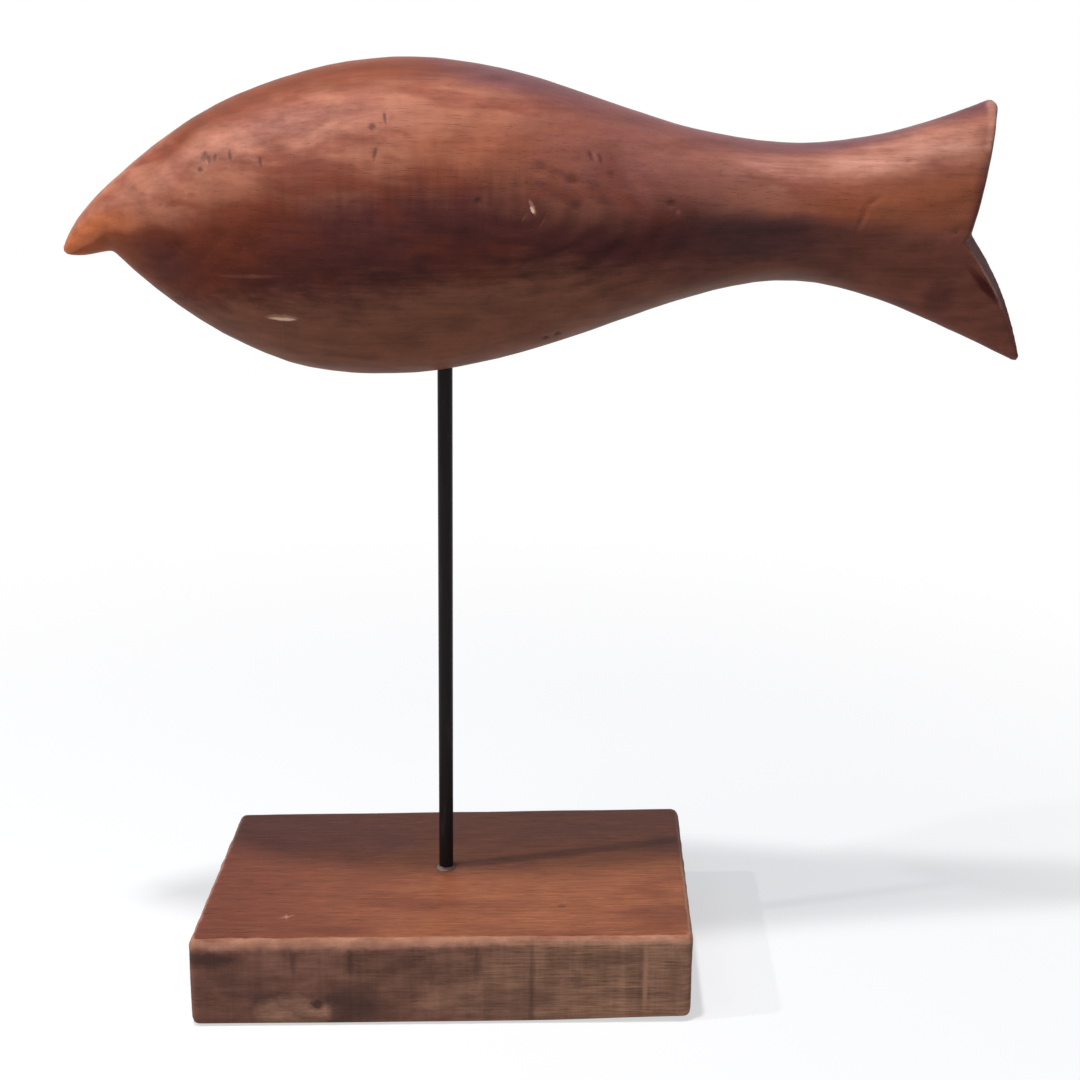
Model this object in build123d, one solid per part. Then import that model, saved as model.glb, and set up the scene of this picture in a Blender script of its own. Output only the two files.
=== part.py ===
from build123d import *
import os
from collections import namedtuple
from math import ceil, cos, pi, radians, sin, tan

# A carved wooden fish that turns on a slim steel rod, which is glued into a block of the same wood.
# Millimetres, +Z up. The origin is where the rod's axis meets the plane that the block stands on.
# The fish's snout points to -X and its tail to +X.

# The block, sawn by hand and a little out of square
BLOCK_WIDTH = 168.0        # along the fish
BLOCK_DEPTH = 97.0
BLOCK_HEIGHT = 32.0
BLOCK_SKEW = 6.0           # how far the back edge lies to the right of the front edge
BLOCK_SPLAY = 3.5          # how far the back edge runs out of parallel, to the right
BLOCK_RIGHT_OF_ROD = 2.1   # from the rod's axis to the middle of the block
BLOCK_FRONT_OF_ROD = 3.5
BLOCK_CORNER = 3.0         # radius of the upright edges
BLOCK_TOP_EDGE = 2.6       # radius of the worn top edges
BLOCK_FOOT_EDGE = 2.6      # radius of the edges it stands on
BLOCK_FLOOR = 10.0         # wood left under the rod

# The rod
ROD_DIAMETER = 5.0
ROD_SHOWN = 181.0          # from the block's top to the belly
ROD_IN_FISH = 42.0
ROD_CHAMFER = 0.6

# The fits at the two ends of the rod
GLUE_FILM = 0.25           # all round the rod in the block
GLUE_BEAD_WIDTH = 1.6      # squeezed out round the foot of the rod
GLUE_BEAD_HEIGHT = 1.1
SWIVEL_CLEARANCE = 0.05    # all round the rod in the fish

# The fish's landmarks from the snout to past the tail. STEP is the distance along the fish from the
# landmark before, TOP and UNDER are heights above and below the level of the mouth.
SNOUT_FROM_ROD = 122.0
SNOUT_TOP = 0.7

BEAK_STEP = 3.6
BEAK_TOP = 7.5
BEAK_UNDER = 1.7
BEAK_THICKNESS = 7.6

MOUTH_STEP = 12.9
MOUTH_TOP = 21.8
MOUTH_THICKNESS = 20.4

GILL_STEP = 30.5
GILL_TOP = 44.0
GILL_UNDER = 24.0
GILL_THICKNESS = 50.0

CHEST_STEP = 30.0
CHEST_TOP = 56.2
CHEST_UNDER = 36.8
CHEST_THICKNESS = 63.6

CREST_STEP = 30.0
CREST_TOP = 61.2
CREST_UNDER = 39.1
CREST_THICKNESS = 70.0

FLANK_STEP = 40.0
FLANK_TOP = 56.5
FLANK_UNDER = 31.8
FLANK_THICKNESS = 66.0

RUMP_STEP = 40.0
RUMP_TOP = 44.2
RUMP_UNDER = 18.2
RUMP_THICKNESS = 52.8

WRIST_STEP = 50.0
WRIST_TOP = 36.3
WRIST_UNDER = 7.9
WRIST_THICKNESS = 39.0

TAIL_ROOT_STEP = 30.0
TAIL_ROOT_TOP = 40.9
TAIL_ROOT_UNDER = 15.2
TAIL_ROOT_THICKNESS = 33.0

# The tail before it is cut to its fork
TAIL_END_STEP = 51.0
TAIL_END_TOP = 61.9
TAIL_END_UNDER = 37.7
TAIL_END_THICKNESS = 22.4

# The fork: lobes are measured past the notch, and each trailing edge bows out between tip and notch
NOTCH_FROM_ROD = 170.7
NOTCH_TOP = 7.8
UPPER_LOBE_LENGTH = 5.4
UPPER_LOBE_ROUND = 3.4     # radius of the lobe's tip
UPPER_LOBE_BOW = 1.1
UPPER_LOBE_BEVEL = 16.5    # degrees that the trailing edge is cut back on each side
LOWER_LOBE_LENGTH = 19.4
LOWER_LOBE_ROUND = 1.7
LOWER_LOBE_BOW = 2.4
LOWER_LOBE_BEVEL = 24.0
TAIL_CUT_MARGIN = 30.0     # how far the cut runs past the tail

BEAK_SPACING = 2.1         # between the sections of the beak
BODY_SPACING = 7.0         # between the sections of the body
SECTION_POINTS = 12        # points on each oval section
SEARCH_STEPS = 40          # halvings that find a place on a line of the fish

rod_radius = ROD_DIAMETER / 2
rod_foot = BLOCK_FLOOR
belly_height = BLOCK_HEIGHT + ROD_SHOWN
rod_tip = belly_height + ROD_IN_FISH

Landmark = namedtuple("Landmark", "step top under thickness")
beak_landmarks = (
    Landmark(BEAK_STEP, BEAK_TOP, BEAK_UNDER, BEAK_THICKNESS),
    Landmark(MOUTH_STEP, MOUTH_TOP, 0, MOUTH_THICKNESS),
)
body_landmarks = (
    Landmark(GILL_STEP, GILL_TOP, GILL_UNDER, GILL_THICKNESS),
    Landmark(CHEST_STEP, CHEST_TOP, CHEST_UNDER, CHEST_THICKNESS),
    Landmark(CREST_STEP, CREST_TOP, CREST_UNDER, CREST_THICKNESS),
    Landmark(FLANK_STEP, FLANK_TOP, FLANK_UNDER, FLANK_THICKNESS),
    Landmark(RUMP_STEP, RUMP_TOP, RUMP_UNDER, RUMP_THICKNESS),
    Landmark(WRIST_STEP, WRIST_TOP, WRIST_UNDER, WRIST_THICKNESS),
    Landmark(TAIL_ROOT_STEP, TAIL_ROOT_TOP, TAIL_ROOT_UNDER, TAIL_ROOT_THICKNESS),
    Landmark(TAIL_END_STEP, TAIL_END_TOP, TAIL_END_UNDER, TAIL_END_THICKNESS),
)


def upright_cylinder(radius, bottom, top):
    """A cylinder on the rod's axis between two heights."""
    return Pos(0, 0, bottom) * extrude(Circle(radius), top - bottom)


def base_block():
    """The block, with a blind hole for the rod and its film of glue."""
    half_width = BLOCK_WIDTH / 2
    half_depth = BLOCK_DEPTH / 2
    lean = BLOCK_SKEW / 2
    outline = Polyline(
        (-half_width - lean, -half_depth),
        (half_width - lean, -half_depth),
        (half_width + lean, half_depth + BLOCK_SPLAY),
        (-half_width + lean, half_depth),
        close=True,
    )
    block = extrude(make_face(outline), BLOCK_HEIGHT)
    block = fillet(block.edges().filter_by(Axis.Z), BLOCK_CORNER)
    block = fillet(block.faces().sort_by(Axis.Z)[-1].edges(), BLOCK_TOP_EDGE)
    block = fillet(block.faces().sort_by(Axis.Z)[0].edges(), BLOCK_FOOT_EDGE)
    block = Pos(BLOCK_RIGHT_OF_ROD, -BLOCK_FRONT_OF_ROD) * block
    return block - upright_cylinder(rod_radius + GLUE_FILM, rod_foot, BLOCK_HEIGHT)


def support_rod():
    """The steel bar, chamfered at both ends."""
    rod = upright_cylinder(rod_radius, rod_foot, rod_tip)
    return chamfer(rod.edges().filter_by(GeomType.CIRCLE), ROD_CHAMFER)


def glue_collar():
    """The film of glue round the rod in the block, with the sloped bead at the rod's foot."""
    hole_radius = rod_radius + GLUE_FILM
    bead_radius = hole_radius + GLUE_BEAD_WIDTH
    bead_top = BLOCK_HEIGHT + GLUE_BEAD_HEIGHT
    section = Polyline(
        (rod_radius, bead_top),
        (rod_radius, rod_foot),
        (hole_radius, rod_foot),
        (hole_radius, BLOCK_HEIGHT),
        (bead_radius, BLOCK_HEIGHT),
        close=True,
    )
    return revolve(Plane.XZ * make_face(section), Axis.Z)


def fish_body():
    """The carving: beak and body lofted along the lines, tail cut to its fork, socket for the rod."""
    snout_x = -SNOUT_FROM_ROD
    beak_x = places_along(snout_x, beak_landmarks)
    mouth_x = beak_x[-1]
    body_x = places_along(mouth_x, body_landmarks)
    landmarks = list(zip(beak_x + body_x, beak_landmarks + body_landmarks))
    snout = (snout_x, SNOUT_TOP)

    back = Spline(snout, [(x, mark.top) for x, mark in landmarks])
    width = Spline((snout_x, 0), [(x, mark.thickness / 2) for x, mark in landmarks])
    jaw_points = [(x, -mark.under) for x, mark in landmarks if x <= mouth_x]
    jaw = Spline(snout, jaw_points, tangents=[(0, -1), (MOUTH_STEP, BEAK_UNDER)])
    belly = Spline([(x, -mark.under) for x, mark in landmarks if x >= mouth_x])

    def oval(x, underline):
        return oval_section(x, height_at(back, x), height_at(underline, x), height_at(width, x))

    beak_ovals = [oval(x, jaw) for x in stations(snout_x, mouth_x, BEAK_SPACING)[1:]]
    body_ovals = [oval(x, belly) for x in stations(mouth_x, body_x[-1], BODY_SPACING)]
    beak = loft([Vertex(snout_x, 0, SNOUT_TOP)] + beak_ovals)
    fish = beak + loft(body_ovals, ruled=True) - tail_cut(back, belly)

    fish = Pos(0, 0, belly_height - height_at(belly, 0)) * fish
    return fish - upright_cylinder(rod_radius + SWIVEL_CLEARANCE, BLOCK_HEIGHT, rod_tip)


def places_along(start, landmarks):
    """Places of the landmarks along the fish, each a step past the one before."""
    places = []
    for mark in landmarks:
        start += mark.step
        places.append(start)
    return places


def stations(start, end, spacing):
    """Places of the sections between two places, evenly spread and at most a spacing apart."""
    count = ceil((end - start) / spacing)
    return [start + (end - start) * i / count for i in range(count + 1)]


def height_at(line, x):
    """Height of a line of the fish at a place along it."""
    low, high = 0.0, 1.0
    for _ in range(SEARCH_STEPS):
        middle = (low + high) / 2
        if (line @ middle).X < x:
            low = middle
        else:
            high = middle
    return (line @ low).Y


def oval_section(x, top, bottom, half_width):
    """An upright oval across the fish, drawn from the belly round at an even pace."""
    centre = (top + bottom) / 2
    half_height = (top - bottom) / 2
    turns = [2 * pi * i / SECTION_POINTS for i in range(SECTION_POINTS + 1)]
    points = [(half_width * sin(t), centre - half_height * cos(t)) for t in turns[:-1]]
    rim = Edge.make_spline(points, periodic=True, parameters=turns)
    across = Plane(origin=(x, 0, 0), x_dir=(0, 1, 0), z_dir=(1, 0, 0))
    return across * make_face(rim)


def tail_cut(back, belly):
    """What is cut away behind the tail, a lobe at a time."""
    upper = lobe_edge(back, UPPER_LOBE_LENGTH, UPPER_LOBE_ROUND, UPPER_LOBE_BOW, side=1)
    lower = lobe_edge(belly, LOWER_LOBE_LENGTH, LOWER_LOBE_ROUND, LOWER_LOBE_BOW, side=-1)
    return lobe_cut(upper, UPPER_LOBE_BEVEL, side=1) + lobe_cut(lower, LOWER_LOBE_BEVEL, side=-1)


def lobe_cut(edge, bevel, side):
    """What is cut away behind one lobe, bevelled to both sides from a ridge along the middle."""
    start = edge[0] @ 0
    beyond = start.Y + side * TAIL_CUT_MARGIN
    behind = NOTCH_FROM_ROD + max(UPPER_LOBE_LENGTH, LOWER_LOBE_LENGTH) + TAIL_CUT_MARGIN
    surround = Polyline(
        start,
        (start.X, beyond),
        (behind, beyond),
        (behind, NOTCH_TOP),
        (NOTCH_FROM_ROD, NOTCH_TOP),
    )
    outline = Plane.XZ * make_face(surround + edge)
    slant = tan(radians(bevel))
    return [extrude(outline, TAIL_CUT_MARGIN, dir=(-slant, flank, 0)) for flank in (-1, 1)]


def lobe_edge(line, length, radius, bow, side):
    """Trailing edge of one lobe, from the fish's line round the tip and in to the notch."""
    start_x = NOTCH_FROM_ROD + length - radius
    tip = JernArc((start_x, height_at(line, start_x)), (1, 0), radius, -90 * side)
    edge = SagittaArc(tip @ 1, (NOTCH_FROM_ROD, NOTCH_TOP), bow * side)
    return [tip, edge]


os.makedirs("parts", exist_ok=True)
for make_piece in (base_block, support_rod, glue_collar, fish_body):
    export_step(make_piece(), f"parts/{make_piece.__name__}.step")
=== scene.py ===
from collections import namedtuple
from functools import cached_property
from math import cos, pi, radians, sin

import bmesh
import bpy
import numpy as np
from bpy.props import FloatProperty, FloatVectorProperty, IntProperty, PointerProperty
from mathutils import Matrix, Vector, noise
from mathutils.bvhtree import BVHTree


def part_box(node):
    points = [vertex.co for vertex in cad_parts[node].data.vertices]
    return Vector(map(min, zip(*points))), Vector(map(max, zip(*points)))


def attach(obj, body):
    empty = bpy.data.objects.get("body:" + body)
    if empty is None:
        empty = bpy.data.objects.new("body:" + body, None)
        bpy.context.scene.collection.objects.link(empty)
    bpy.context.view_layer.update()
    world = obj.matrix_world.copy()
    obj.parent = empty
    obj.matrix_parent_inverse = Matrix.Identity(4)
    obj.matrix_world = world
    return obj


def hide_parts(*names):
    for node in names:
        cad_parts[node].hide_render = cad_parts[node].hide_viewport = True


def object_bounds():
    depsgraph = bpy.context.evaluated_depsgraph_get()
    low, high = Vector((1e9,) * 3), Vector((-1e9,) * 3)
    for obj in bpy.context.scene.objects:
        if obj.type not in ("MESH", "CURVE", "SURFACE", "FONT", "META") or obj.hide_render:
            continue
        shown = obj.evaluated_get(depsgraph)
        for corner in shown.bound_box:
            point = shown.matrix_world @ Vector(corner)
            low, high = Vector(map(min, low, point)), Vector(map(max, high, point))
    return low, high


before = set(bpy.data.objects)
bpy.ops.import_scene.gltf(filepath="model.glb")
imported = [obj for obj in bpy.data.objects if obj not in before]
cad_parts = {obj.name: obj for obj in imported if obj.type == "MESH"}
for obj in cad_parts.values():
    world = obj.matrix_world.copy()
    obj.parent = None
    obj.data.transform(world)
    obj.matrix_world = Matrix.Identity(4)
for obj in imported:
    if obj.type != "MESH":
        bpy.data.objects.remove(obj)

bl_info = {
    "name": "Carved fish on a stand",
    "version": (1, 0, 0),
    "blender": (4, 5, 0),
    "location": "View3D > Sidebar > Carved fish",
    "description": "Dresses the packed fish, rod and block in carved, painted and sawn surfaces",
    "category": "Add Mesh",
}

MM = 0.001
CAD_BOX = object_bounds()
FISH_LOW, FISH_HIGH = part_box("fish_body")
BLOCK_LOW, BLOCK_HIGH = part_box("base_block")
ROD_LOW, ROD_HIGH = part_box("support_rod")
ROD_RADIUS = (ROD_HIGH.x - ROD_LOW.x) / 2

# Places below are in millimetres. The near flank is the one towards -Y.
Mark = namedtuple("Mark", "x z long high turn")
PALE_CHIPS = (
    Mark(-50.1, 233.6, 5.2, 1.0, 1),  # long chip low on the cheek
    Mark(26.9, 269.1, 0.55, 2.2, -24),  # nick in the middle of the flank
)
FAINT_CHIPS = (
    Mark(24.7, 266.4, 0.35, 1.6, 32),  # scratch beside the nick
    Mark(30.6, 265.4, 0.3, 2.6, 28),
    Mark(46.1, 283.5, 0.45, 1.4, -15),  # nick on the shoulder
    Mark(71.9, 267.2, 0.8, 0.8, 0),  # speck before the tail's wrist
    Mark(130.4, 263.2, 0.45, 1.8, 32),  # bruise at the root of the tail
    Mark(161.5, 260.4, 0.4, 1.1, 50),
)
DARK_DENTS = (
    Mark(-72.7, 282.2, 0.9, 1.4, 25),  # scribble of ticks on the head
    Mark(-71.2, 281.2, 0.5, 1.2, -12),
    Mark(-69.3, 281.9, 0.5, 1.0, 12),
    Mark(-73.8, 278.2, 0.9, 0.7, 0),
    Mark(-64.6, 282.6, 0.5, 1.5, -8),
    Mark(-55.2, 281.2, 0.5, 1.5, -12),
    Mark(-21.2, 291.8, 1.2, 1.0, 25),  # ticks below the crest
    Mark(-17.5, 294.4, 0.5, 1.6, -10),
    Mark(-20.4, 284.3, 0.55, 1.9, 12),
    Mark(10.4, 271.0, 0.9, 0.9, 0),
    Mark(44.6, 284.0, 0.5, 1.5, -15),  # both sides of the nick on the shoulder
    Mark(47.7, 283.0, 0.5, 1.4, -15),
    Mark(70.0, 269.8, 1.7, 1.0, 0),
    Mark(32.2, 226.2, 1.3, 0.7, 0),
    Mark(36.0, 227.6, 1.2, 0.8, 0),
)
CREASES = (
    Mark(131.4, 266.0, 0.9, 3.8, 20),  # folded grain at the root of the tail
    Mark(134.8, 270.2, 2.9, 0.8, -32),
    Mark(146.2, 282.2, 2.2, 0.8, -20),  # on the tail
    Mark(157.3, 282.9, 0.8, 0.9, -15),
    Mark(160.0, 283.3, 0.7, 0.8, 20),
)
BLOTS = (
    Mark(29.5, 281.0, 2.3, 1.7, 20),  # dark blots on the flank before the shoulder
    Mark(33.7, 279.3, 2.4, 2.0, 10),
    Mark(38.6, 277.5, 3.2, 2.2, 25),
    Mark(40.2, 269.9, 2.6, 1.8, 0),
    Mark(50.9, 278.8, 2.4, 1.7, 0),
)
PALE_STREAK = Mark(-59.4, 246.8, 8.4, 0.6, -2)
FAR_CHIPS = (
    Mark(38.0, 258.0, 4.4, 0.9, -4),
    Mark(-30.0, 276.0, 0.6, 2.0, 15),
)
FAR_DENTS = (
    Mark(-52.0, 270.0, 0.8, 1.5, 10),
    Mark(-8.0, 290.0, 0.6, 1.5, -20),
    Mark(22.0, 284.0, 1.2, 0.8, 25),
    Mark(60.0, 262.0, 0.8, 1.1, 0),
    Mark(142.0, 274.0, 1.6, 0.7, 15),
)

GIRTH = "girth"  # share of the fish's height, 0 at the belly and 1 on the back
BLOTTED = "blotted"  # 1 in the middle of a dark blot
SECTIONS = 90  # slices in which the fish's height is taken

WELD = MM / 1000  # metres within which points of the CAD mesh are one
EASE_FACTOR = 0.5  # how far, and how often, the fine meshes are eased
EASE_ROUNDS = 3

# Hollows that the rasp left: size along each axis, share of the unevenness and start of the pattern
RASP_HOLLOWS = (((26, 17, 13), 0.6, 0.0), ((9, 7, 6), 0.3, 31.0))
MARK_REACH = 4.0  # how far into the wood a mark counts
MARK_FALL = 1.5  # how fast a mark runs out past its rim
BORE_CATCH = 0.8  # points this near to the bore are drawn onto it
BORE_STOP = 0.5  # which ends this far below the rod's tip
LEAST_RADIUS = 0.1  # points nearer to the rod's axis count as this far from it


def written_as(operation, reflected=False):
    """A way to write an operation on two numbers, which adds a Math node."""
    def operate(first, second):
        values = (second, first) if reflected else (first, second)
        return first.bench.math(operation, *values)
    return operate


class Value:
    """A number on its way through a material; sums written with it add Math nodes."""

    def __init__(self, bench, socket):
        self.bench = bench
        self.socket = socket

    __add__ = written_as("ADD")
    __radd__ = written_as("ADD", True)
    __sub__ = written_as("SUBTRACT")
    __rsub__ = written_as("SUBTRACT", True)
    __mul__ = written_as("MULTIPLY")
    __rmul__ = written_as("MULTIPLY", True)
    __truediv__ = written_as("DIVIDE")
    __rtruediv__ = written_as("DIVIDE", True)


RIM_TATTERS = (0.6, 0.6, 0.6)  # size of the tatters on a patch's rim, in shares of the patch


class Bench:
    """The nodes of a material or a world, which work in millimetres."""

    def __init__(self, owner):
        self.owner = owner
        owner.use_nodes = True
        self.tree = owner.node_tree
        self.tree.nodes.clear()

    @cached_property
    def place(self):
        """Where a point lies on the piece."""
        place = self.node("ShaderNodeTexCoord", {}, {}, "Object")
        return self.vector("SCALE", {0: place, "Scale": 1 / MM})

    def node(self, kind, settings, inputs, output=0):
        """Adds a node, sets it up, feeds its sockets and gives back one of its outputs."""
        node = self.tree.nodes.new(kind)
        for name, setting in settings.items():
            if name == "stops":
                self.set_stops(node.color_ramp, setting)
            else:
                setattr(node, name, setting)
        for name, value in inputs.items():
            if isinstance(value, Value):
                self.tree.links.new(value.socket, node.inputs[name])
            else:
                node.inputs[name].default_value = value
        return Value(self, node.outputs[output])

    @staticmethod
    def set_stops(ramp, stops):
        """Gives a ramp its stops, each a place and a number, which is kept as the ramp's alpha."""
        ramp.interpolation = "EASE"
        while len(ramp.elements) < len(stops):
            ramp.elements.new(1.0)
        for element, (place, number) in zip(ramp.elements, stops):
            element.position = place
            element.color = (number, number, number, number)

    def math(self, operation, *values):
        return self.node("ShaderNodeMath", {"operation": operation}, dict(enumerate(values)))

    def vector(self, operation, inputs, output=0):
        return self.node("ShaderNodeVectorMath", {"operation": operation}, inputs, output)

    def attribute(self, name):
        """A number that is kept at the mesh's points."""
        return self.node("ShaderNodeAttribute", {"attribute_name": name}, {}, "Fac")

    def reach(self, first, second):
        """How far a place lies from an axis, by its two distances across it."""
        return self.math("SQRT", first * first + second * second)

    def ramp(self, value, stops):
        return self.node("ShaderNodeValToRGB", {"stops": stops}, {0: value}, "Alpha")

    def step(self, value, low, high):
        """0 below low, 1 above high, and a smooth rise between."""
        inputs = {"Value": value, "From Min": low, "From Max": high}
        settings = {"interpolation_type": "SMOOTHSTEP"}
        return self.node("ShaderNodeMapRange", settings, inputs, "Result")

    def mix(self, share, first, second):
        """A colour between two, which may be fixed colours or links."""
        colours = [c if isinstance(c, Value) else (*c, 1) for c in (first, second)]
        inputs = {0: share, 6: colours[0], 7: colours[1]}
        return self.node("ShaderNodeMix", {"data_type": "RGBA"}, inputs, 2)

    def layers(self, tone, *layers):
        """A colour with others laid over it in turn, each by its share."""
        for share, colour in layers:
            tone = self.mix(share, tone, colour)
        return tone

    def shade(self, colour, light):
        """A colour, fixed or linked, made lighter or darker by a factor."""
        return self.vector("SCALE", {0: colour, "Scale": light})

    def axes(self):
        """The three coordinates of the place."""
        return [self.node("ShaderNodeSeparateXYZ", {}, {0: self.place}, axis) for axis in "XYZ"]

    def facing(self, axis, normal="Normal"):
        """1 on a face that looks along an axis, -1 on one that looks the other way."""
        normal = self.node("ShaderNodeNewGeometry", {}, {}, normal)
        return self.node("ShaderNodeSeparateXYZ", {}, {0: normal}, axis)

    def noise(self, size, detail=2.0, roughness=0.5, twist=0.0, start=0.0, at=None):
        """Cloudy noise about 0.5, with a size along each axis and a start that sets its pattern."""
        at = self.vector("DIVIDE", {0: at or self.place, 1: size})
        at = self.vector("ADD", {0: at, 1: (start, start, start)})
        inputs = {"Vector": at, "Scale": 1.0, "Detail": detail, "Roughness": roughness}
        return self.node("ShaderNodeTexNoise", {}, {**inputs, "Distortion": twist})

    def patch(self, centre, radii, turn=0.0, ragged=0.0, softness=0.5, spin=0.0):
        """1 inside an ellipsoid, turned about Y and spun about Z by degrees, 0 past its rim."""
        turns = (0, radians(turn), radians(spin))
        inputs = {"Vector": self.place, "Location": centre, "Rotation": turns, "Scale": radii}
        inside = self.node("ShaderNodeMapping", {"vector_type": "TEXTURE"}, inputs)
        reach = self.vector("LENGTH", {0: inside}, "Value")
        if ragged:
            tatters = self.noise(RIM_TATTERS, start=centre[0], at=inside) - 0.5
            reach = reach + tatters * ragged
        return 1 - self.step(reach, 1 - softness, 1 + softness)

    def band(self, value, low, high, soft):
        """1 between low and high, 0 outside, with soft edges."""
        past_high = self.step(value, high - soft, high + soft)
        return self.step(value, low - soft, low + soft) * (1 - past_high)

    def finish(self, colour, roughness, height, relief, specular, polish=0.0, polish_roughness=0.3):
        """Ends the material in its shader: relief in millimetres, polish as a thin clear coat."""
        inputs = {
            "Base Color": colour,
            "Roughness": roughness,
            "Specular IOR Level": specular,
            "Coat Weight": polish,
            "Coat Roughness": polish_roughness,
            "Normal": self.node("ShaderNodeBump", {}, {"Distance": relief * MM, "Height": height}),
        }
        self.end(self.node("ShaderNodeBsdfPrincipled", {}, inputs))
        return self.owner

    def end(self, shader, kind="Material"):
        out = self.tree.nodes.new("ShaderNodeOutput" + kind)
        self.tree.links.new(shader.socket, out.inputs["Surface"])

    def shown_directly(self):
        """1 for rays that show the surroundings: to the camera, in a gloss or through glass."""
        names = ("Is Camera Ray", "Is Glossy Ray", "Is Transmission Ray")
        camera, gloss, glass = (self.node("ShaderNodeLightPath", {}, {}, name) for name in names)
        return self.math("MAXIMUM", self.math("MAXIMUM", camera, gloss), glass)


def material_bench(name):
    return Bench(bpy.data.materials.new(name))


def settings_of(kind, **limits):
    """A way to write settings of a kind, each by its name, its meaning and its first value."""
    def write(name, description, default, **more):
        return kind(name=name, description=description, default=default, **limits, **more)
    return write


colour = settings_of(FloatVectorProperty, subtype="COLOR", min=0, max=1)
point = settings_of(FloatVectorProperty, unit="LENGTH")
length = settings_of(FloatProperty, unit="LENGTH", min=0)
angle = settings_of(FloatProperty, subtype="ANGLE")
power = settings_of(FloatProperty, unit="POWER", min=0)
focus = settings_of(FloatProperty, unit="CAMERA")
count = settings_of(IntProperty)


class FishSettings(bpy.types.PropertyGroup):
    grid: length("Grid", "Size of the fish's mesh", 0.9 * MM)
    unevenness: length("Unevenness", "Depth of the hollows that the rasp left", 0.35 * MM)
    dent_depth: length("Dent depth", "Depth of the dents", 0.5 * MM)
    chip_depth: length("Chip depth", "Depth of the pale chips", 0.35 * MM)
    bore_gap: length("Bore gap", "Room between the rod and its bore", 0.12 * MM)
    pale_wood: colour("Pale wood", "Upper side", (0.37, 0.134, 0.078))
    warm_wood: colour("Warm wood", "Clouds in the upper side", (0.24, 0.064, 0.036))
    amber_wood: colour("Amber wood", "Orange parts of the upper side", (0.31, 0.088, 0.041))
    back_wood: colour("Back wood", "Along the top of the head", (0.165, 0.038, 0.015))
    # Dull tone along the back, with a painted reflection of the sky in its mauve tint
    crest_wood: colour("Crest wood", "Along the top behind the crest", (0.126, 0.045, 0.050))
    # Dark heart: figure in the wood and painted shade where the flank turns away from the light
    heart_wood: colour("Heart wood", "Dark figure along the flank", (0.100, 0.028, 0.024))
    cheek_wood: colour("Cheek wood", "Red parts of the dark figure", (0.160, 0.036, 0.019))
    belly_wood: colour("Belly wood", "Under side", (0.234, 0.086, 0.049))
    # Painted highlight along the ridge; also the pale bare wood of the chips and the tail's pale
    # upper rim
    worn_wood: colour("Worn wood", "Pale wear along the rubbed ridge", (0.56, 0.255, 0.185))
    # Painted shade on the dull shoulder behind the crest; also the specks before it
    shoulder_wood: colour("Shoulder wood", "Dull shoulder behind the crest", (0.180, 0.060, 0.050))
    dusk_wood: colour("Dusk wood", "Dark figure before the wrist", (0.095, 0.042, 0.038))
    # Painted bounce light from the floor along the under edge before the wrist
    olive_wood: colour("Olive wood", "Under edge before the wrist", (0.26, 0.150, 0.100))
    tail_wood: colour("Tail wood", "Dark figure and under side of the tail", (0.232, 0.075, 0.048))
    wrist_wood: colour("Wrist wood", "Under the wrist and the tail", (0.175, 0.059, 0.038))
    snout_wood: colour("Snout wood", "Tip of the snout", (0.64, 0.176, 0.062))
    # Dark red streak on the lower lobe
    scar_wood: colour("Scar wood", "Red scar on the lower lobe", (0.085, 0.014, 0.012))
    cut_wood: colour("Cut wood", "End grain where the tail is cut", (0.38, 0.215, 0.170))
    chip_wood: colour("Chip wood", "Bare wood in the chips", (1.0, 0.68, 0.44))
    # Dark colour laid in the dents
    dent_wood: colour("Dent wood", "Dirt in the dents", (0.075, 0.026, 0.022))


class BlockSettings(bpy.types.PropertyGroup):
    grid: length("Grid", "Size of the block's mesh", 0.9 * MM)
    saw_depth: length("Saw depth", "Depth of the saw's marks on the sides", 0.3 * MM)
    arris_wear: length("Arris wear", "Wood lost along the top edges", 0.6 * MM)
    foot_rise: length("Foot rise", "Wood lost under the right front corner", 1.3 * MM)
    top_wood: colour("Top wood", "Oiled top", (0.265, 0.088, 0.041))
    top_dark: colour("Top dark wood", "Dark and red parts of the top", (0.145, 0.040, 0.024))
    # Painted shadow of the fish on the rear part of the top
    top_rear: colour("Top rear wood", "Dull rear part of the top", (0.150, 0.054, 0.044))
    left_wood: colour("Left wood", "Front at its left end", (0.222, 0.099, 0.068))
    right_wood: colour("Right wood", "Front at its right end", (0.330, 0.170, 0.104))
    saw_dark: colour("Saw dark wood", "Saw lines and stains", (0.080, 0.040, 0.033))
    arris_wood: colour("Arris wood", "Worn edges", (0.48, 0.228, 0.144))
    knot_wood: colour("Knot wood", "Pale knot", (0.32, 0.164, 0.104))


class RodSettings(bpy.types.PropertyGroup):
    paint: colour("Paint", "Black paint", (0.016, 0.012, 0.012))
    rubbed: colour("Rubbed paint", "Where the paint is rubbed", (0.050, 0.034, 0.030))


class GlueSettings(bpy.types.PropertyGroup):
    width: length("Width", "Width of the bead on the block", 0.8 * MM)
    height: length("Height", "Height of the bead on the rod", 0.6 * MM)
    turns: count("Turns", "Points round the bead", 72, min=12)
    rings: count("Rings", "Points across the bead", 9, min=4)
    glue: colour("Glue", "Dried glue", (0.24, 0.185, 0.165))
    # Darker colour of the glue, all round except at its front left
    glue_dark: colour("Dust", "Dirt in the glue", (0.13, 0.060, 0.042))


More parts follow.
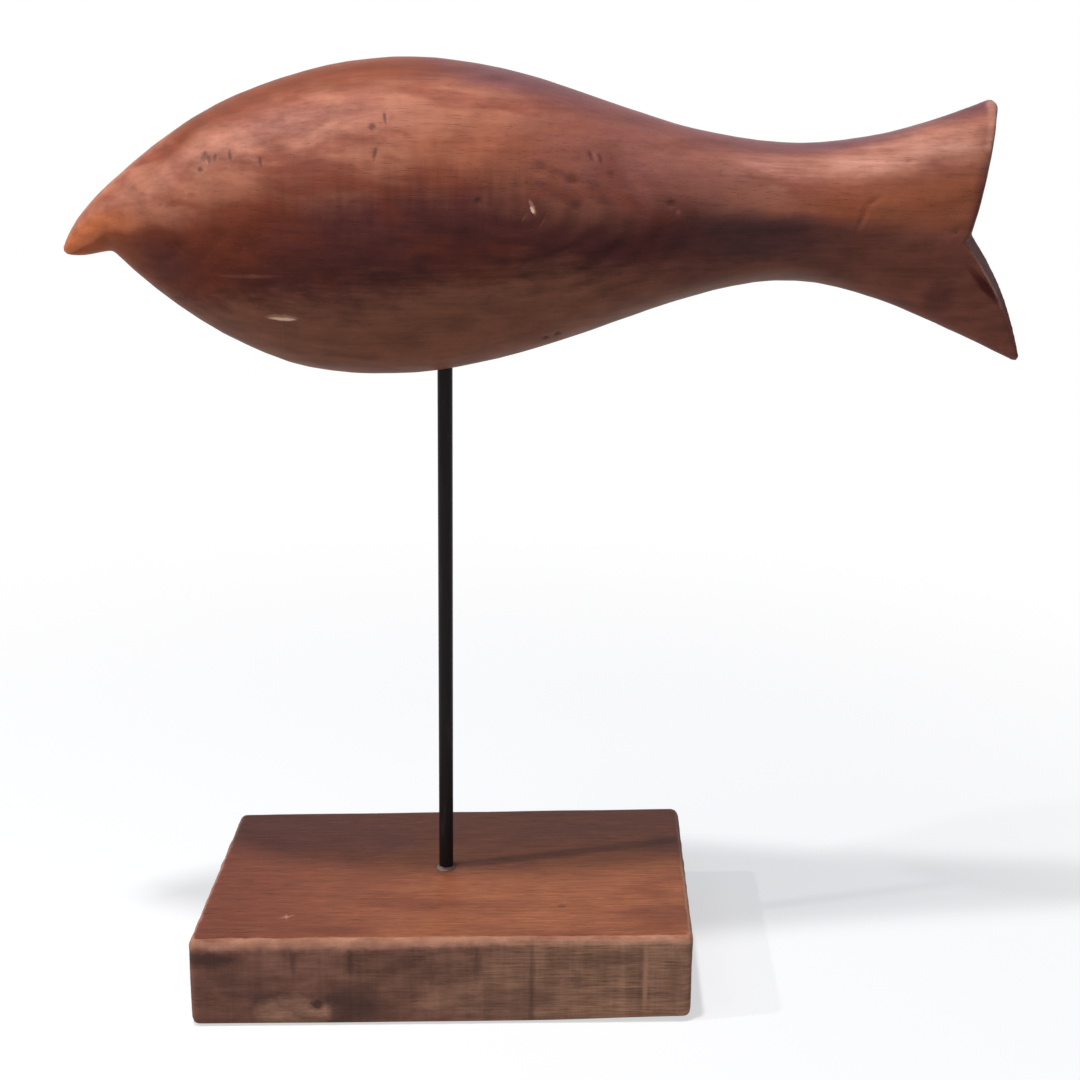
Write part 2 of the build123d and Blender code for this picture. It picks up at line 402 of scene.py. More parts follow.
class StageSettings(bpy.types.PropertyGroup):
    eye: point("Camera", "Where the camera stands", (0.007466, -0.57154, 0.32883))
    yaw: angle("Yaw", "Camera to the right", radians(2.455))
    pitch: angle("Pitch", "Camera down", radians(16.984))
    roll: angle("Roll", "Camera tilted", radians(0.79))
    lens: focus("Lens", "Focal length on a 36 mm frame", 58.9)
    floor: colour("Floor", "Pale floor", (0.86, 0.86, 0.86))
    bounce: colour("Bounce", "Floor as it lights the object", (0.50, 0.49, 0.48))
    sky: colour("Sky", "Light from all round", (0.076, 0.100, 0.168))
    left_light: power("Left light", "Large soft light", 2.0)
    top_light: power("Top light", "Light from above", 13.0)
    low_light: power("Low light", "Small light from the left", 5.2)
    front_light: power("Front light", "Weak light in front", 3.5)


def add_object(name, data):
    """A new object in the scene."""
    added = bpy.data.objects.new(name, data)
    bpy.context.scene.collection.objects.link(added)
    return added


def new_piece(name, mesh, material, body, slot, *replaced):
    """Puts a mesh in the scene as a piece that rides on a body and stands for CAD nodes."""
    piece = add_object(name, mesh)
    mesh.materials.clear()
    mesh.materials.append(material)
    mesh.shade_smooth()
    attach(piece, body)
    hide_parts(*replaced)


def fine_mesh(node, name, grid):
    """A copy of a CAD node's mesh, closed and divided into a fine even grid."""
    shell = bmesh.new()
    shell.from_mesh(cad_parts[node].data)
    bmesh.ops.remove_doubles(shell, verts=shell.verts, dist=WELD)
    mesh = bpy.data.meshes.new(name + "_shell")
    shell.to_mesh(mesh)
    shell.free()
    holder = add_object(name + "_shell", mesh)
    remesh = holder.modifiers.new("Grid", "REMESH")
    remesh.mode = "VOXEL"
    remesh.voxel_size = grid
    smooth = holder.modifiers.new("Ease", "SMOOTH")
    smooth.factor = EASE_FACTOR
    smooth.iterations = EASE_ROUNDS
    graph = bpy.context.evaluated_depsgraph_get()
    fine = bpy.data.meshes.new_from_object(holder.evaluated_get(graph))
    fine.name = name
    bpy.data.objects.remove(holder)
    bpy.data.meshes.remove(mesh)
    return fine


def points_of(mesh):
    """The mesh's points and their normals, in millimetres."""
    points = np.empty(len(mesh.vertices) * 3)
    normals = np.empty(len(mesh.vertices) * 3)
    mesh.vertices.foreach_get("co", points)
    mesh.vertex_normals.foreach_get("vector", normals)
    return points.reshape(-1, 3) / MM, normals.reshape(-1, 3)


def move_points(mesh, points):
    mesh.vertices.foreach_set("co", (points * MM).ravel())
    mesh.update()


def roughness_at(points, size, start=0.0):
    """Smooth noise from -1 to 1 at each point, with a size along each axis."""
    at = points / np.array(size) + start
    return np.array([noise.noise(p) for p in at])


def smooth_step(value, low, high):
    share = np.clip((value - low) / (high - low), 0, 1)
    return share * share * (3 - 2 * share)


def on_flank(tree, mark, side):
    """The place of a mark on the near flank (side -1) or the far one (side 1)."""
    start = Vector((mark.x * MM, side, mark.z * MM))
    place = tree.ray_cast(start, Vector((0, -side, 0)))[0]
    if place is None:
        raise RuntimeError(f"no wood under the mark at {mark.x}, {mark.z}")
    return tuple(np.array(place) / MM)


def placed_marks(tree, near, far):
    """Each mark with its place in the wood, on both flanks."""
    flanks = ((-1, near), (1, far))
    return [(mark, on_flank(tree, mark, side)) for side, group in flanks for mark in group]


def hollow(points, mark, centre):
    """1 at a mark's middle, falling to 0 past its rim."""
    across = points - centre
    turn = radians(mark.turn)
    along = across[:, 0] * cos(turn) - across[:, 2] * sin(turn)
    up = across[:, 0] * sin(turn) + across[:, 2] * cos(turn)
    inward = across[:, 1]
    reach = (along / mark.long) ** 2 + (up / mark.high) ** 2 + (inward / MARK_REACH) ** 2
    return np.exp(-MARK_FALL * reach)


def girth_shares(points):
    """How high each point lies between the fish's under line and its back at that place."""
    low_x, high_x = points[:, 0].min(), points[:, 0].max()
    share = (points[:, 0] - low_x) / (high_x - low_x)
    slot = np.clip((share * SECTIONS).astype(int), 0, SECTIONS - 1)
    top = np.full(SECTIONS, -np.inf)
    under = np.full(SECTIONS, np.inf)
    np.maximum.at(top, slot, points[:, 2])
    np.minimum.at(under, slot, points[:, 2])
    middles = low_x + (np.arange(SECTIONS) + 0.5) * (high_x - low_x) / SECTIONS
    rear = SECTIONS * 3 // 4
    tip = rear + top[rear:].argmax()
    top[tip:] = top[tip]  # past the upper lobe the lower one keeps its place
    top = np.interp(points[:, 0], middles, top)
    under = np.interp(points[:, 0], middles, under)
    return np.clip((points[:, 2] - under) / np.maximum(top - under, 1.0), 0, 1)


def carved_fish_mesh(settings):
    """The fish with the rasp's hollows, its dents and chips, and a clean bore."""
    mesh = fine_mesh("fish_body", "fish", settings.grid)
    points, normals = points_of(mesh)
    tree = BVHTree.FromPolygons(
        [Vector(p) * MM for p in points], [tuple(face.vertices) for face in mesh.polygons]
    )
    girth = girth_shares(points)

    depth = np.zeros(len(points))
    for size, share, start in RASP_HOLLOWS:
        depth += settings.unevenness / MM * share * (roughness_at(points, size, start) - 0.5)
    dents = placed_marks(tree, DARK_DENTS, FAR_DENTS)
    chips = placed_marks(tree, PALE_CHIPS, FAR_CHIPS)
    faint = placed_marks(tree, FAINT_CHIPS, ())
    for mark, centre in dents:
        depth -= settings.dent_depth / MM * hollow(points, mark, centre)
    for mark, centre in chips + faint + placed_marks(tree, CREASES, ()):
        depth -= settings.chip_depth / MM * hollow(points, mark, centre)
    points += normals * depth[:, None]

    radius = np.hypot(points[:, 0], points[:, 1])
    bore = (ROD_RADIUS + settings.bore_gap) / MM
    in_bore = (radius < bore + BORE_CATCH) & (points[:, 2] < ROD_HIGH.z / MM - BORE_STOP)
    points[in_bore, :2] *= (bore / np.maximum(radius[in_bore], LEAST_RADIUS))[:, None]
    move_points(mesh, points)

    blots = placed_marks(tree, BLOTS, BLOTS)
    blotted = sum(hollow(points, mark, centre) for mark, centre in blots)
    for name, values in ((GIRTH, girth), (BLOTTED, blotted)):
        attribute = mesh.attributes.new(name, "FLOAT", "POINT")
        attribute.data.foreach_set("value", values.astype(np.float32))
    faint += placed_marks(tree, (PALE_STREAK,), ())
    return mesh, dents, chips, faint


# Along the fish from snout to tail: share of the girth at which the dark heart, figure in the wood
# and painted shade, ends above and below, how softly it ends above, how far its upper edge is
# fringed, and where the ridge lies, how pale its painted highlight is and how much it shines
HEART_TOP = (
    (0.00, 0.02), (0.03, 0.25), (0.06, 0.42), (0.12, 0.53), (0.185, 0.63), (0.23, 0.69),
    (0.28, 0.64), (0.33, 0.66), (0.40, 0.645), (0.47, 0.62), (0.52, 0.58), (0.57, 0.575),
    (0.61, 0.60), (0.67, 0.57), (0.76, 0.50), (0.85, 0.485), (0.92, 0.50), (1.00, 0.55),
)
HEART_FOOT = (
    (0.00, 0.05), (0.12, 0.14), (0.20, 0.26), (0.37, 0.36), (0.48, 0.36), (0.60, 0.28),
    (0.75, 0.24), (0.86, 0.28), (0.95, 0.36), (1.00, 0.42),
)
HEART_SOFT = (
    (0.00, 0.06), (0.12, 0.14), (0.18, 0.22), (0.40, 0.18), (0.52, 0.26), (0.66, 0.20),
    (0.76, 0.09), (1.00, 0.10),
)
HEART_FRINGE = (
    (0.00, 0.02), (0.20, 0.04), (0.27, 0.10), (0.42, 0.11), (0.52, 0.04), (0.70, 0.02), (1.00, 0.02)
)
RIDGE = (
    (0.00, 0.60), (0.10, 0.77), (0.16, 0.84), (0.30, 0.86), (0.68, 0.845), (0.87, 0.885),
    (1.00, 0.87),
)
RIDGE_PLACES = (0.00, 0.08, 0.16, 0.30, 0.40, 0.52, 0.64, 0.74, 0.82, 0.90, 0.95, 1.00)
RIDGE_HIGHLIGHT = tuple(
    zip(RIDGE_PLACES, (0.05, 0.20, 0.30, 0.30, 0.15, 0.05, 0.12, 0.60, 1.00, 0.80, 0.30, 0.05))
)
RIDGE_SHINE = tuple(
    zip(RIDGE_PLACES, (0.15, 0.45, 0.62, 0.62, 0.35, 0.15, 0.20, 0.70, 1.00, 0.90, 0.50, 0.15))
)

# Patches: middle, half sizes, degrees about Y, how ragged and how soft the rim is
Patch = namedtuple("Patch", "centre radii turn ragged softness")
SWIRL = Patch((44, -29, 257), (30, 60, 20), 0, 0.4, 0.6)
AMBER_FLANK = Patch((18, -29, 284), (30, 60, 11), 0, 0.6, 0.7)
SPECKLED = Patch((42, -28, 277), (18, 40, 8), 0, 0.6, 0.6)
SHOULDER_SHADE = Patch((66, -18, 283), (38, 60, 20), 12, 0.6, 0.7)
SHOULDER_SHADE_FOOT = Patch((95, -21, 271), (10, 40, 6), 0, 0.8, 0.7)
CHIN = Patch((-92, -16, 251), (15, 40, 6), 12, 0.5, 0.6)
BRUISE = Patch((-51, -28, 243), (13, 40, 6), 0, 0.9, 0.7)
# Painted shade on the lower lobe near the root of the tail
LOBE_SHADE = Patch((159, -10.5, 239), (4.5, 14, 5.0), 0, 0.8, 0.6)
# Dark red streak along the lower lobe's near edge
LOBE_STREAK = Patch((173.6, -11.9, 242.6), (7.8, 5, 1.5), 44, 0.6, 0.5)
CHATTER = Patch((-12, -31, 277), (52, 60, 24), 0, 0.5, 0.6)
HATCHED = Patch((-64, -24, 253), (17, 40, 8), 0, 0.6, 0.6)
SOILED = Patch((-72, -20.5, 281.2), (4.6, 5, 2.4), 0, 1.0, 0.7)

# Noise in the fish's wood: size along each axis, detail, roughness, twist and start of the pattern
FISH_NOISE = {
    "clouds": ((34, 16, 10), 3.0, 0.55, 0.6, 0.0),
    "blots": ((13, 10, 7), 2.0, 0.5, 0.4, 51.0),
    "mottle": ((8, 5, 4), 3.0, 0.6, 0.0, 7.0),
    "curl": ((1.9, 16, 11), 2.0, 0.5, 0.0, 61.0),
    "streaks": ((42, 2.2, 1.7), 3.0, 0.6, 0.0, 3.0),
    "fringe": ((3.6, 40, 26), 2.0, 0.5, 0.0, 5.0),
    "drift": ((32, 30, 24), 2.0, 0.5, 0.0, 17.0),
}
RING_Y, RING_Z, RING_WIDTH = -5.0, 262.0, 5.2  # middle and width of the year rings
ARC_X, ARC_Z, ARC_WIDTH = 22.0, 268.0, 5.4  # middle and width of the swirl's arcs
ARC_STRETCH = 0.55  # height of the arcs to their length
TAIL_X, TAIL_Z, TAIL_LEAN = 168.3, 260.0, 0.13  # a point of the trailing edge, and its lean
DENT_REACH, SCUFF_REACH = 4, 5  # how deep a mark's colour goes
CHIP_DROP, CHIP_LONG, CHIP_HIGH = 0.4, 0.8, 0.45  # bright floor of a chip to the chip's size

Grain = namedtuple("Grain", ("x", "y", "z", "girth", "along", *FISH_NOISE))


def fish_grain(wood):
    """Where a place lies on the fish, and the noise in its wood, which is about 0."""
    x, y, z = wood.axes()
    girth = wood.attribute(GIRTH)
    along = (x - FISH_LOW.x / MM) / ((FISH_HIGH.x - FISH_LOW.x) / MM)
    noises = [wood.noise(*values) - 0.5 for values in FISH_NOISE.values()]
    return Grain(x, y, z, girth, along, *noises)


def year_rings(wood, grain):
    """Waves of the year rings, from -1 to 1."""
    ring_y = grain.y - RING_Y + (wood.noise((90, 60, 60), 1.0, start=23.0) - 0.5) * 26
    ring_z = grain.z - RING_Z + (wood.noise((70, 60, 60), 1.0, start=29.0) - 0.5) * 30
    turns = wood.reach(ring_y, ring_z) * (2 * pi / RING_WIDTH)
    return wood.math("SINE", turns + grain.mottle * 4.0)


def swirl_arcs(wood, grain):
    """Waves of the curled grain behind the middle of the flank, from -1 to 1."""
    turns = wood.reach((grain.x - ARC_X) * ARC_STRETCH, grain.z - ARC_Z) * (2 * pi / ARC_WIDTH)
    return wood.math("SINE", turns + grain.drift * 9.0 + grain.mottle * 4.0)


def upper_side(wood, grain, swirl, tint):
    """Pale wood with warm clouds, amber parts and specks before the shoulder."""
    girth = grain.girth
    below_back = 1 - wood.step(girth + grain.streaks * 0.1, 0.68, 0.82)
    amber = wood.step(grain.along + grain.drift * 0.1, 0.70, 0.80) * below_back
    amber = wood.math("MAXIMUM", amber, wood.patch(*AMBER_FLANK) * 0.8)
    curled = wood.band(girth + grain.mottle * 0.1, 0.60, 0.80, 0.08) * swirl
    specks = wood.step(wood.noise((4.4, 6, 3.4), 1.0, 0.4, start=83.0), 0.53, 0.61)
    return wood.layers(
        tint.pale_wood,
        (wood.step(grain.clouds, -0.10, 0.14), tint.warm_wood),
        (wood.step(grain.blots, 0.05, 0.14) * 0.45, tint.warm_wood),
        (amber * 0.8, tint.amber_wood),
        (curled * 0.3, tint.amber_wood),
        (specks * wood.patch(*SPECKLED) * 0.55, tint.shoulder_wood),
    )


def back_and_ridge(wood, grain, pale, over, tint):
    """The upper side with its dark back, painted shade on the shoulder and a painted highlight
    along the ridge, by the girth over it.
    """
    along, mottle = grain.along, grain.mottle
    # Behind the crest the back takes a mauve tint, a painted reflection of the sky
    back = wood.mix(wood.step(along + mottle * 0.1, 0.32, 0.46), tint.back_wood, tint.crest_wood)
    past_snout = wood.step(along + mottle * 0.04, 0.09, 0.14)
    # Painted shade on the shoulder behind the crest, which turns away from the lights
    shoulder = wood.math("MAXIMUM", wood.patch(*SHOULDER_SHADE), wood.patch(*SHOULDER_SHADE_FOOT) * 0.7)
    # Painted highlight along the ridge, where the gloss of the left light falls
    ridge_highlight = 1 - wood.step(wood.math("ABSOLUTE", over), 0.015, 0.115)
    ridge_highlight = ridge_highlight * wood.ramp(along, RIDGE_HIGHLIGHT) * (0.75 + grain.streaks * 1.4 + mottle * 0.9)
    return wood.layers(
        pale,
        (wood.step(over, 0.03, 0.12) * past_snout, back),
        (shoulder * (0.75 + mottle * 0.8), tint.shoulder_wood),
        (ridge_highlight * 0.75, tint.worn_wood),
    )


def heart_and_shade_share(wood, grain):
    """1 in the dark heart, figure in the wood and painted shade, and below it, 0 above its fringed
    upper edge.
    """
    edge = wood.ramp(grain.along, HEART_TOP)
    edge = edge + grain.drift * 0.12 + grain.blots * 0.12 + grain.mottle * 0.08
    edge = edge + grain.fringe * wood.ramp(grain.along, HEART_FRINGE)
    return wood.step((edge - grain.girth) / wood.ramp(grain.along, HEART_SOFT), -0.5, 0.6)


def lower_side(wood, grain, tint):
    """The dark heart, figure in the wood and partly painted shade, red on the cheek and dusky
    before the wrist, and the dull belly under it with painted bounce light along its lower edge
    before the wrist.
    """
    along, girth, mottle, drift = grain.along, grain.girth, grain.mottle, grain.drift
    place = along + drift * 0.1
    ruddy = wood.step(grain.clouds + grain.blots * 0.6, -0.05, 0.16) * 0.55
    ruddy = wood.math("MAXIMUM", ruddy, 1 - wood.step(along + drift * 0.12, 0.20, 0.29))
    dark = wood.layers(
        tint.heart_wood,
        (ruddy, tint.cheek_wood),
        (wood.patch(*CHIN) * 0.7, tint.heart_wood),
        (wood.patch(*BRUISE) * 0.6, tint.heart_wood),
        (wood.step(place, 0.60, 0.70) * 0.7, tint.dusk_wood),
        (wood.step(place, 0.72, 0.83) * 0.95, tint.tail_wood),
    )
    # Painted bounce light along the belly's under edge before the wrist
    bounce_rim = 1 - wood.step(girth + mottle * 0.1, 0.03, 0.17)
    belly = wood.layers(
        tint.belly_wood,
        (wood.step(along + drift * 0.2, 0.52, 0.66), tint.wrist_wood),
        (wood.step(place, 0.76, 0.87) * 0.9, tint.tail_wood),
        (bounce_rim * wood.band(along, 0.54, 0.78, 0.06) * 0.6, tint.olive_wood),
    )
    foot = wood.ramp(along, HEART_FOOT) + drift * 0.16 + mottle * 0.12 + grain.streaks * 0.10
    return wood.mix(wood.step(foot - girth, -0.07, 0.11), dark, belly)


def snout_tip(wood, grain):
    """1 on the tip of the snout, less towards its upper edge."""
    shorter = wood.step(grain.girth, 0.50, 0.75) * 0.05
    tip = 1 - wood.step(grain.along + grain.mottle * 0.04 + shorter, 0.03, 0.12)
    return tip * (1 - wood.step(grain.girth + grain.mottle * 0.1, 0.58, 0.80) * 0.8)


def tail_end(wood, grain, tone, cut, tint):
    """The tail's painted shade along its trailing edge and its pale upper rim, painted shade and a
    dark red streak on its lower lobe, and its cut end grain.
    """
    z, mottle = grain.z, grain.mottle
    edge = grain.x - TAIL_X - (z - TAIL_Z) * TAIL_LEAN
    # Painted shade along the tail's trailing edge
    edge_shade = wood.step(edge + mottle * 3.0, -5.0, -0.8) * wood.band(z, 259, 283, 3.0)
    pale_rim = wood.step(edge + mottle * 2.0, -2.8, -0.8)
    pale_rim = pale_rim * wood.band(z + mottle * 6.0, 285, 303, 1.5)
    return wood.layers(
        tone,
        (edge_shade * 0.65, tint.heart_wood),
        (pale_rim * 0.45, tint.worn_wood),
        (wood.patch(*LOBE_SHADE) * 0.5, tint.heart_wood),
        (wood.patch(*LOBE_STREAK) * 0.95, tint.scar_wood),
        (cut * wood.step(z + mottle * 5.0, 233, 241) * 0.9, tint.cut_wood),
    )


def marked(wood, marks, reach, ragged, softness):
    """1 within the rims of the marks in the flanks."""
    return sum(
        wood.patch(centre, (mark.long, reach, mark.high), mark.turn, ragged, softness)
        for mark, centre in marks
    )


def chip_floors(chips):
    """The bright floor of each chip, which lies low in it."""
    floors = []
    for mark, (x, y, z) in chips:
        floor = mark._replace(long=mark.long * CHIP_LONG, high=mark.high * CHIP_HIGH)
        floors.append((floor, (x, y, z - CHIP_DROP * mark.high)))
    return floors


def carved_wood(tint, dents, chips, faint):
    """Stained hardwood: pale above with a painted highlight along the ridge, dark along the flank
    with figure and painted shade, dull at the belly.
    """
    wood = material_bench("carved_wood")
    grain = fish_grain(wood)
    along, girth, mottle, streaks = grain.along, grain.girth, grain.mottle, grain.streaks
    swirl = wood.patch(*SWIRL)
    waves = year_rings(wood, grain) * 0.06 + swirl_arcs(wood, grain) * swirl * 0.14

    over = girth - wood.ramp(along, RIDGE) + grain.drift * 0.06 + mottle * 0.03
    pale = upper_side(wood, grain, swirl, tint)
    pale = back_and_ridge(wood, grain, pale, over, tint)
    # The dark heart is figure in the wood and partly painted shade
    heart = heart_and_shade_share(wood, grain)
    tone = wood.mix(heart, pale, lower_side(wood, grain, tint))
    tip = snout_tip(wood, grain)
    tone = wood.mix(tip * 0.85 * (1 - heart * 0.5), tone, tint.snout_wood)
    cut = wood.step(wood.facing("X", "True Normal"), 0.55, 0.75) * wood.step(along, 0.88, 0.90)
    tone = tail_end(wood, grain, tone, cut, tint)

    chatter = wood.patch(*CHATTER)
    light = 1.0 + streaks * 0.40 + mottle * 0.50 + waves + grain.curl * (0.08 + chatter * 0.16)
    light = light + streaks * heart * 0.10 + grain.blots * heart * 0.6
    hatch = wood.step(wood.noise((1.6, 4, 1.1), 2.0, 0.6, 1.2, start=47.0), 0.58, 0.70)
    light = light + hatch * wood.patch(*HATCHED) * 0.35
    # Painted light on the lower snout tip and painted shade towards its upper edge
    light = light + tip * (0.15 - wood.step(girth, 0.30, 0.70) * 0.40)
    light = light - wood.step(wood.attribute(BLOTTED) + mottle * 1.5, 0.10, 0.90) * 0.36
    pores = wood.step(wood.noise((8, 0.42, 0.36), 2.0, 0.6, start=11.0), 0.58, 0.70)
    tone = wood.shade(tone, light - pores * 0.16)

    # Darker in the dents and in one patch on the head
    dark_marks = marked(wood, dents, DENT_REACH, 1.3, 0.55) + wood.patch(*SOILED) * 0.35
    scuff = marked(wood, faint, SCUFF_REACH, 1.0, 0.5)
    bare = marked(wood, chips, DENT_REACH, 1.6, 0.3)
    tone = wood.layers(
        tone,
        (wood.math("MINIMUM", dark_marks, 1.0) * 0.66, tint.dent_wood),
        (scuff * (0.34 + mottle), tint.pale_wood),
        (bare * 0.7, tint.worn_wood),
        (marked(wood, chip_floors(chips), DENT_REACH, 1.6, 0.4), tint.chip_wood),
    )

    roughness = 0.44 + mottle * 0.20 + heart * 0.08 + bare * 0.25 + cut * 0.35
    satin = 1 - wood.step(wood.math("ABSOLUTE", over + 0.04), 0.03, 0.20)
    satin = satin * wood.ramp(along, RIDGE_SHINE) * (0.9 + streaks * 1.2 + mottle * 0.8) + 0.06
    polish = satin * (1 - heart * 0.8) * (1 - cut)
    height = streaks * 0.5 - pores * 0.8 + mottle * 0.6 + grain.curl * (0.2 + chatter * 0.5)
    return wood.finish(
        tone, roughness, height, relief=0.06, specular=0.08, polish=polish, polish_roughness=0.36
    )


class FISH_OT_carve(bpy.types.Operator):
    """Carve the fish: fine mesh, dents, chips and stained wood"""

    bl_idname = "carved_fish.carve"
    bl_label = "Carve the fish"

    def execute(self, context):
        settings = context.scene.carved_fish
        mesh, *marks = carved_fish_mesh(settings)
        material = carved_wood(settings, *marks)
        new_piece("fish", mesh, material, "fish", "carved_wood", "fish_body")
        return {"FINISHED"}


BLOCK_FRONT = BLOCK_LOW.y / MM
FRONT_WEAR = 16  # how far back from the front its heavier wear fades out
LIFT_FROM = 20  # along the block, where its foot starts to rise
LIFT_HEIGHT = 12  # up the block, where that rise has run out
ROUND_WEAR = 0.10  # wood lost all over


def sawn_block_mesh(settings):
    """The block with saw marks round its sides, worn top edges and a lifted foot."""
    mesh = fine_mesh("base_block", "block", settings.grid)
    points, normals = points_of(mesh)
    x, y, z = points.T
    saw = settings.saw_depth / MM
    side = 1 - smooth_step(np.abs(normals[:, 2]), 0.3, 0.8)
    run = np.where(np.abs(normals[:, 0]) > np.abs(normals[:, 1]), y, x)

    upright = np.column_stack((run, z * 0.05, np.zeros(len(run))))
    bands = roughness_at(upright, (5.0, 5.0, 5.0))
    bands += 0.5 * roughness_at(upright, (2.2, 5.0, 5.0), 9.0)
    torn = roughness_at(points, (13, 13, 1.8), 41.0)
    depth = -side * saw * (0.8 + 0.5 * bands + 0.4 * np.maximum(torn, 0))
    depth -= ROUND_WEAR * (1 + roughness_at(points, (30, 12, 12), 3.0))

    edge = smooth_step(normals[:, 2], 0.15, 0.45) * (1 - smooth_step(normals[:, 2], 0.90, 0.99))
    front = 1 - smooth_step(y, BLOCK_FRONT, BLOCK_FRONT + FRONT_WEAR)
    nicks = np.maximum(roughness_at(points, (7, 7, 7), 5.0), -0.4) * (0.2 + 0.4 * front)
    depth -= edge * settings.arris_wear / MM * (0.4 + nicks)
    points += normals * depth[:, None]

    right_end = smooth_step(x, LIFT_FROM, BLOCK_HIGH.x / MM)
    low = 1 - smooth_step(z, 0, LIFT_HEIGHT)
    points[:, 2] += settings.foot_rise / MM * right_end * front * low
    move_points(mesh, points)
    return mesh


# On the front, saw lines and stains: place across, height, half length, half height and strength
SAW_LINES = (
    (-50, 24.0, 0.9, 4.0, 0.51), (-31, 23.5, 1.1, 4.5, 0.5525), (-5, 20.0, 2.4, 5.0, 0.425),
    (11, 22.5, 1.3, 5.5, 0.51), (29, 14.0, 0.9, 14.0, 0.5525), (44, 16.5, 1.6, 3.5, 0.34),
    (77, 16.5, 2.6, 10.5, 0.2975),
)
PALE_SAW_LINE = (67, 17.0, 0.8, 12.0)
STAINS = (
    (-79, 25.0, 9, 2.6, 0.85), (-31, 8.0, 11, 7.5, 0.80), (-63, 11.5, 9, 2.2, 0.55),
    (-70, 18.0, 12, 4.0, 0.30), (-14, 20.0, 8, 6.0, 0.30), (22, 9.0, 16, 5.0, 0.35),
    (56, 24.0, 12, 2.2, 0.40), (62, 11.0, 13, 1.6, 0.35),
)
# Lobes of the pale knot, likewise without a strength
KNOT_LOBES = ((-57.0, 5.0, 6.0, 4.8), (-50.5, 6.6, 6.4, 5.4), (-43.0, 4.4, 6.0, 4.4))
KNOT_EYE = Patch((-42.4, BLOCK_FRONT, 7.8), (2.2, 6, 1.7), 0, 1.0, 0.5)
# Strokes of the star scratched into the top: degrees about the upright and half length
STAR_STROKES = ((28, 2.6), (96, 1.5), (150, 1.1))
STAR_CENTRE = (-53.4, -35.8, 32)
STROKE_HALF = 0.38
TOP_SPOT = Patch((40.0, -29.7, 32), (1.4, 1.2, 3), 0, 0.8, 0.5)
TOP_STAIN = Patch((-39.8, -44.6, 32), (13, 2.4, 3), 0, 1.0, 0.6)
SIDE_REACH = 8  # how deep the marks on the front go
ARRIS_FOOT = 28.4  # height at which the front's worn strip starts at the left
ARRIS_RISE = 1.7  # and how much higher it starts at the right


def top_of_block(wood, tint):
    """Oiled top: short fibres in a mottled board that is darker and redder at its left end, with a
    painted shadow on its rear part.
    """
    x, y, _ = wood.axes()
    clouds = wood.noise((42, 22, 16), 3.0, 0.55, 0.3) - 0.5
    figure = wood.noise((13, 3.4, 3.4), 3.0, 0.6, 0.3, start=31.0) - 0.5
    grain = wood.noise((24, 1.1, 1.1), 4.0, 0.62, start=3.0) - 0.5
    dashes = wood.noise((6.5, 0.55, 0.5), 2.0, 0.6, start=13.0)
    left_end = 1 - wood.step(x + clouds * 60, -86.0, 6.0)
    top = wood.layers(
        tint.top_wood,
        (wood.step(clouds + figure * 0.4, -0.06, 0.20) * 0.7, tint.top_dark),
        (left_end * 0.95, tint.top_dark),
        # Painted shadow of the fish on the rear part of the top
        (wood.step(y + clouds * 50, -2.0, 30.0) * 0.5, tint.top_rear),
    )
    pores = wood.step(dashes, 0.57, 0.68)
    flecks = 1 - wood.step(dashes, 0.33, 0.42)
    top = wood.shade(top, 1.0 + grain * 0.95 + figure * 0.60 - pores * 0.28 + flecks * 0.28)
    top = wood.mix(wood.patch(*TOP_SPOT) * 0.6, top, tint.saw_dark)
    top = wood.mix(wood.patch(*TOP_STAIN) * 0.85, top, tint.top_dark)
    for spin, half_long in STAR_STROKES:
        stroke = wood.patch(STAR_CENTRE, (half_long, STROKE_HALF, 3), 0, 1.6, 0.5, spin)
        top = wood.mix(stroke * 0.42, top, tint.arris_wood)
    return top, grain * 0.4 - pores * 0.5


def front_patch(wood, place, height, half_long, half_high, ragged, softness):
    """A patch on the front of the block."""
    radii = (half_long, SIDE_REACH, half_high)
    return wood.patch((place, BLOCK_FRONT, height), radii, 0, ragged, softness)


